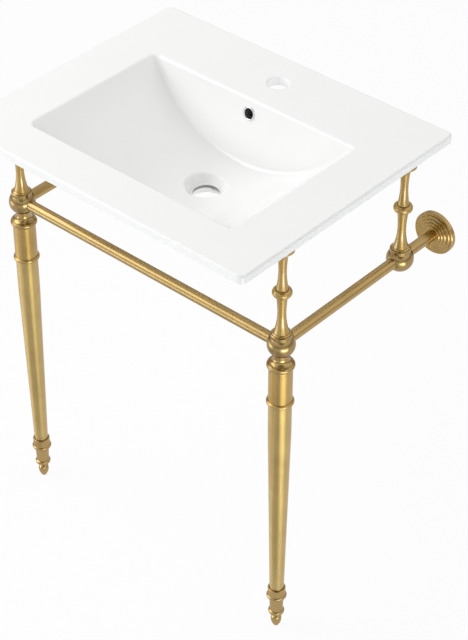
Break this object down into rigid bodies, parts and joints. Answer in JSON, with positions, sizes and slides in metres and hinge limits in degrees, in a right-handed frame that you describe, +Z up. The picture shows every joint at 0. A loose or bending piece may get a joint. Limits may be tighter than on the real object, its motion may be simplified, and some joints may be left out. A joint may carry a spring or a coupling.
{
  "type": "console sink",
  "caption": "Console sink: thin-edged ceramic basin on turned risers, with tapered front legs, side rails to wall flanges and screw-out levelling feet.",
  "frame": {"origin": "on the floor, under the middle of the basin", "axes": "+Z up, +Y towards the wall behind the sink, +X to the right as seen from the front"},
  "size_m": [0.645, 0.504, 0.817],
  "materials": {
    "glaze": "gloss white glaze",
    "satin_brass": "satin, brushed",
    "plated_ring": "polished plate",
    "hidden_steel": "zinc plated",
    "rubber_pad": "matt black"
  },
  "bodies": {
    "console": {"ball_studs": "hidden_steel", "basin": "glaze", "clamp_studs": "hidden_steel", "flange_grub_screws": "hidden_steel", "front_ball_left": "satin_brass", "front_ball_right": "satin_brass", "front_rail": "satin_brass", "leg_cap_left": "satin_brass", "leg_cap_right": "satin_brass", "leg_collar_left": "satin_brass", "leg_collar_right": "satin_brass", "leg_ferrule_left": "satin_brass", "leg_ferrule_right": "satin_brass", "leg_sleeve_left": "satin_brass", "leg_sleeve_right": "satin_brass", "leg_tube_left": "satin_brass", "leg_tube_right": "satin_brass", "lower_riser_front_left": "satin_brass", "lower_riser_front_right": "satin_brass", "lower_riser_rear_left": "satin_brass", "lower_riser_rear_right": "satin_brass", "overflow_ring": "plated_ring", "rail_grub_screws": "hidden_steel", "rear_ball_left": "satin_brass", "rear_ball_right": "satin_brass", "rest_pad_front_left": "rubber_pad", "rest_pad_front_right": "rubber_pad", "rest_pad_rear_left": "rubber_pad", "rest_pad_rear_right": "rubber_pad", "riser_link_studs": "hidden_steel", "side_rail_left": "satin_brass", "side_rail_right": "satin_brass", "upper_riser_front_left": "satin_brass", "upper_riser_front_right": "satin_brass", "upper_riser_rear_left": "satin_brass", "upper_riser_rear_right": "satin_brass", "wall_flange_left": "satin_brass", "wall_flange_right": "satin_brass", "wall_plate_left": "hidden_steel", "wall_plate_right": "hidden_steel"},
    "foot_left": {"levelling_foot_left": "satin_brass"},
    "foot_right": {"levelling_foot_right": "satin_brass"}
  },
  "joints": [
    {"name": "foot_left_height", "type": "slide", "parent": "console", "child": "foot_left", "axis": [0, 0, -1], "range_m": [0, 0.015]},
    {"name": "foot_right_height", "type": "slide", "parent": "console", "child": "foot_right", "axis": [0, 0, -1], "range_m": [0, 0.015]}
  ]
}
